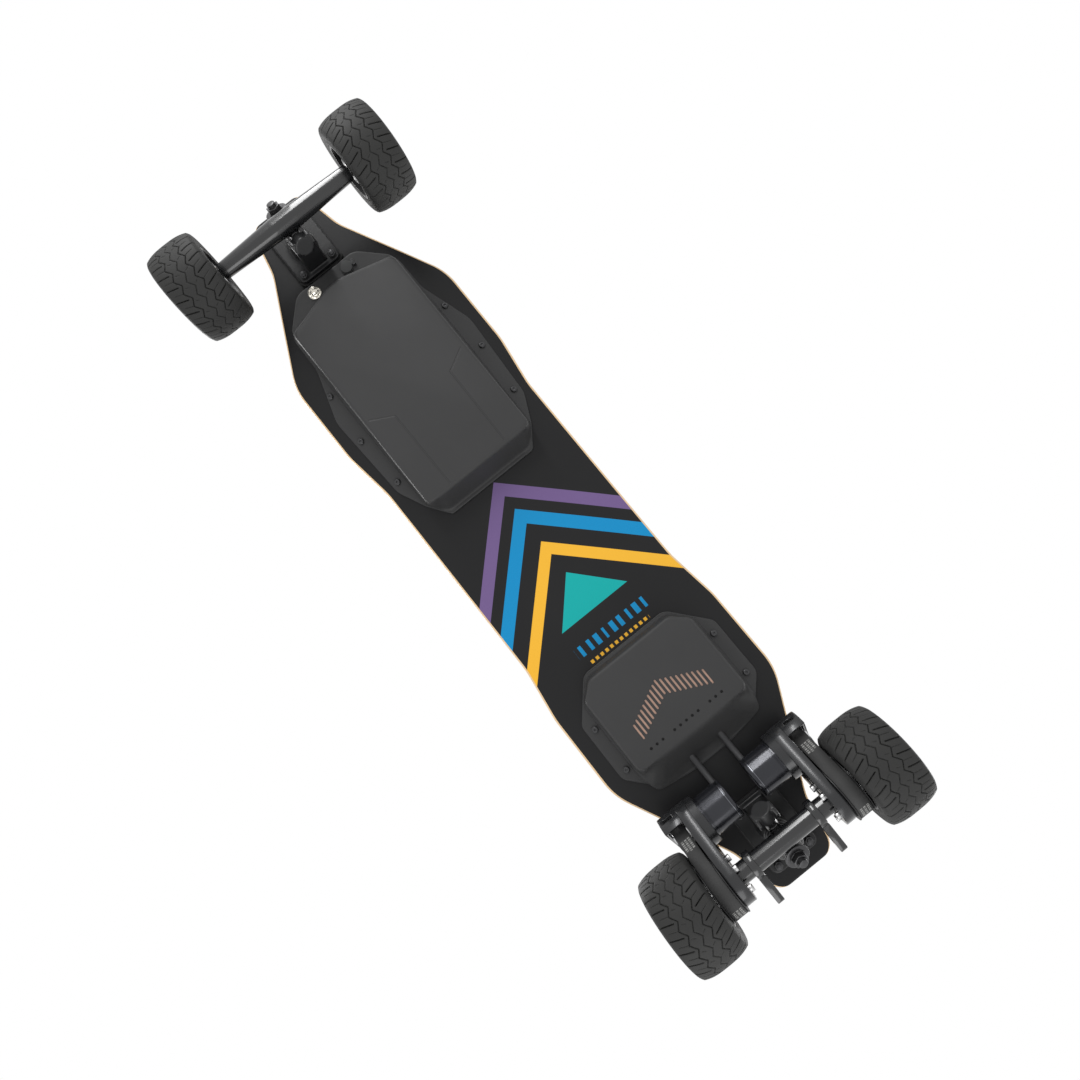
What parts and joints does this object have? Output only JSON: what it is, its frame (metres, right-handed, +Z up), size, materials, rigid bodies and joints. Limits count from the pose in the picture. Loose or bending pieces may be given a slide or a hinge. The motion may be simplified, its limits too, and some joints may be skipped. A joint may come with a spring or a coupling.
{
  "type": "electric skateboard",
  "caption": "Electric longboard with an arched, dished deck, underslung battery and controller covers, reverse-kingpin trucks and belt drive to the rear wheels",
  "frame": {"origin": "on the ground, under the middle of the deck", "axes": "+X points forward, away from the motors; +Y points left; +Z points up"},
  "size_m": [0.965, 0.292, 0.1659],
  "materials": {
    "deck_wood": "clear-coated maple edge, satin black on the underside with coloured chevrons",
    "grip": "coarse grip surface",
    "steel": "zinc-plated steel",
    "black_steel": "blackened steel",
    "truck_black": "gloss black powder coat",
    "black_rubber": "matt moulded rubber",
    "tyre_rubber": "matt rubber with a cross-cut tread",
    "hub_plastic": "satin black nylon",
    "bearing_steel": "polished steel",
    "motor_black": "dark anodised shell",
    "pulley_black": "black moulded nylon",
    "pulley_metal": "machined aluminium",
    "belt_rubber": "matt rubber with woven backing",
    "mount_black": "black anodised",
    "cover_plastic": "satin moulded plastic",
    "socket_plastic": "satin moulded plastic",
    "cap_rubber": "soft moulded rubber",
    "button_metal": "polished",
    "cell_wrap": "heat-shrink sleeve",
    "board_green": "solder-masked board",
    "sink_metal": "anodised copper tone",
    "lead_red": "flat silicone lead",
    "lead_black": "sleeved lead"
  },
  "bodies": {
    "root": {"deck": "deck_wood", "grip_tape": "grip", "deck_bolts": "black_steel", "deck_nuts": "black_steel", "riser_pads": "black_rubber", "front_baseplate": "truck_black", "rear_baseplate": "truck_black", "kingpins": "black_steel", "kingpin_nuts": "black_steel", "front_bushings": "black_rubber", "rear_bushings": "black_rubber", "bushing_washers": "black_steel", "pivot_cups": "black_rubber", "battery_cover": "cover_plastic", "controller_cover": "cover_plastic", "cover_gaskets": "black_rubber", "cover_screws": "black_steel", "battery_pack": "cell_wrap", "controller_board": "board_green", "heat_sink": "sink_metal", "power_lead": "lead_red", "motor_leads": "lead_black", "charge_socket": "socket_plastic", "button_bezel": "button_metal"},
    "front_hanger": {"front_hanger": "truck_black", "front_axle": "steel", "front_axle_nuts": "steel"},
    "rear_hanger": {"rear_hanger": "truck_black", "rear_axle": "steel", "rear_axle_nuts": "steel", "motor_left": "motor_black", "motor_right": "motor_black", "belt_left": "belt_rubber", "belt_right": "belt_rubber", "motor_mount_left": "mount_black", "motor_mount_right": "mount_black", "belt_cover_left": "mount_black", "belt_cover_right": "mount_black", "mount_screws": "steel", "rear_prongs": "truck_black"},
    "wheel_front_left": {"tyre_front_left": "tyre_rubber", "hub_front_left": "hub_plastic", "bearings_front_left": "bearing_steel"},
    "wheel_front_right": {"tyre_front_right": "tyre_rubber", "hub_front_right": "hub_plastic", "bearings_front_right": "bearing_steel"},
    "wheel_rear_left": {"tyre_rear_left": "tyre_rubber", "hub_rear_left": "hub_plastic", "bearings_rear_left": "bearing_steel", "wheel_pulley_left": "pulley_black"},
    "wheel_rear_right": {"tyre_rear_right": "tyre_rubber", "hub_rear_right": "hub_plastic", "bearings_rear_right": "bearing_steel", "wheel_pulley_right": "pulley_black"},
    "rotor_left": {"motor_shaft_left": "bearing_steel", "motor_pulley_left": "pulley_metal"},
    "rotor_right": {"motor_shaft_right": "bearing_steel", "motor_pulley_right": "pulley_metal"},
    "power_button": {"power_button": "button_metal"},
    "charge_cap": {"charge_cap": "cap_rubber"}
  },
  "joints": [
    {"name": "front_lean", "type": "hinge", "parent": "root", "child": "front_hanger", "pos_m": [0.39287, 0, 0.06229], "axis": [0.8589, 0, 0.5122], "range_deg": [-14, 14], "stiffness_Nm_per_rad": 60, "deforming": ["front_bushings"]},
    {"name": "rear_lean", "type": "hinge", "parent": "root", "child": "rear_hanger", "pos_m": [-0.39287, 0, 0.06229], "axis": [-0.8589, 0, 0.5122], "range_deg": [-14, 14], "stiffness_Nm_per_rad": 60, "deforming": ["rear_bushings", "motor_leads"]},
    {"name": "front_left_wheel_spin", "type": "hinge", "parent": "front_hanger", "child": "wheel_front_left", "pos_m": [0.41828, 0.117, 0.055], "axis": [0, 1, 0], "continuous": true},
    {"name": "front_right_wheel_spin", "type": "hinge", "parent": "front_hanger", "child": "wheel_front_right", "pos_m": [0.41828, -0.117, 0.055], "axis": [0, 1, 0], "continuous": true},
    {"name": "rear_left_wheel_spin", "type": "hinge", "parent": "rear_hanger", "child": "wheel_rear_left", "pos_m": [-0.41828, 0.117, 0.055], "axis": [0, 1, 0], "continuous": true},
    {"name": "rear_right_wheel_spin", "type": "hinge", "parent": "rear_hanger", "child": "wheel_rear_right", "pos_m": [-0.41828, -0.117, 0.055], "axis": [0, 1, 0], "continuous": true},
    {"name": "left_motor_spin", "type": "hinge", "parent": "rear_hanger", "child": "rotor_left", "pos_m": [-0.36466, 0.05125, 0.09007], "axis": [0, 1, 0], "continuous": true},
    {"name": "right_motor_spin", "type": "hinge", "parent": "rear_hanger", "child": "rotor_right", "pos_m": [-0.36466, -0.05125, 0.09007], "axis": [0, 1, 0], "continuous": true},
    {"name": "power_press", "type": "slide", "parent": "root", "child": "power_button", "axis": [0.0476, 0, 0.9989], "range_m": [0, 0.0015], "stiffness_N_per_m": 400, "springref_m": -0.001},
    {"name": "cap_hinge", "type": "hinge", "parent": "root", "child": "charge_cap", "pos_m": [0.36739, 0.0345, 0.11616], "axis": [0.9989, 0, -0.0476], "range_deg": [0, 110]}
  ],
  "couplings": [
    {"joint": "left_motor_spin", "follows": "rear_left_wheel_spin", "ratio": 2.4},
    {"joint": "right_motor_spin", "follows": "rear_right_wheel_spin", "ratio": 2.4}
  ]
}
